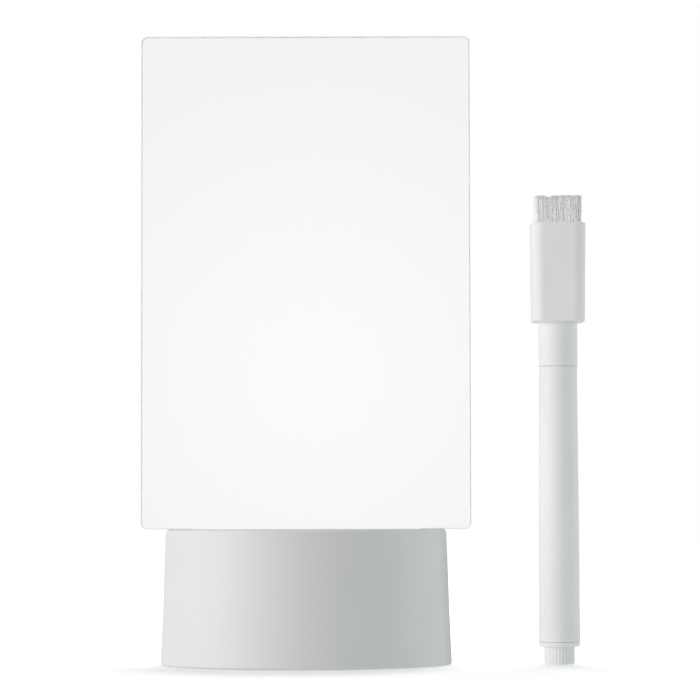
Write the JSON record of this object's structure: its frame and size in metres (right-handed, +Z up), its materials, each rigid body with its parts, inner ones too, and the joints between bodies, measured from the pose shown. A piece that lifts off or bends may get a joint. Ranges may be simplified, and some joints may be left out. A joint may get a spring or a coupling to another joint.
{
  "type": "led memo board",
  "caption": "Desk memo board: a clear writing panel stands in the slot of a round lit battery base, with a marker pen whose cap carries an eraser brush.",
  "frame": {"origin": "centre of the round base's footprint on the desk", "axes": "+X to the right of someone reading the board, +Y from the board's front to its back, +Z up"},
  "size_m": [0.1348, 0.088, 0.191],
  "materials": {
    "white_abs": "satin",
    "clear_acrylic": "polished",
    "white_pen_plastic": "satin",
    "foot_rubber": "matte",
    "zinc_screw": "satin",
    "nickel_contact": "gloss",
    "cell_jacket": "gloss",
    "board_laminate": "satin",
    "chip_phosphor": "gloss",
    "resistor_ceramic": "satin",
    "switch_can": "satin",
    "slider_plastic": "satin",
    "wire_red_jacket": "satin",
    "wire_black_jacket": "satin",
    "reservoir_fibre": "matte",
    "nib_felt": "matte",
    "liner_soft": "satin",
    "brush_fibre": "matte"
  },
  "bodies": {
    "root": {"base_shell": "white_abs", "bottom_cover": "white_abs", "foot_ring": "foot_rubber", "cover_screws": "zinc_screw", "battery_1": "cell_jacket", "battery_2": "cell_jacket", "battery_3": "cell_jacket", "positive_terminal": "nickel_contact", "negative_terminal": "nickel_contact", "bridge_contact_left": "nickel_contact", "bridge_contact_right": "nickel_contact", "contact_springs": "nickel_contact", "led_board": "board_laminate", "led_chips": "chip_phosphor", "board_resistor": "resistor_ceramic", "board_screws": "zinc_screw", "switch_body": "switch_can", "switch_screws": "zinc_screw", "wire_positive": "wire_red_jacket", "wire_switched": "wire_red_jacket", "wire_negative": "wire_black_jacket"},
    "memo_panel": {"writing_panel": "clear_acrylic"},
    "slider": {"switch_slider": "slider_plastic"},
    "door": {"battery_door": "white_abs"},
    "pen": {"pen_barrel": "white_pen_plastic", "pen_end_plug": "white_pen_plastic", "ink_reservoir": "reservoir_fibre", "nib_holder": "white_pen_plastic", "pen_nib": "nib_felt"},
    "cap": {"pen_cap": "white_pen_plastic", "cap_liner": "liner_soft", "eraser_brush": "brush_fibre"}
  },
  "joints": [
    {"name": "panel_lift", "type": "slide", "parent": "root", "child": "memo_panel", "axis": [0, 0, 1], "range_m": [0, 0.03]},
    {"name": "power_slide", "type": "slide", "parent": "root", "child": "slider", "axis": [1, 0, 0], "range_m": [0, 0.0025]},
    {"name": "battery_door_swing", "type": "hinge", "parent": "root", "child": "door", "pos_m": [-0.0286, 0, 0.0006], "axis": [0, 1, 0], "range_deg": [0, 85]},
    {"name": "pen_lift", "type": "slide", "parent": "root", "child": "pen", "axis": [0, 0, 1], "range_m": [0, 0.05]},
    {"name": "cap_pull", "type": "slide", "parent": "pen", "child": "cap", "axis": [0, 0, 1], "range_m": [0, 0.035]}
  ]
}
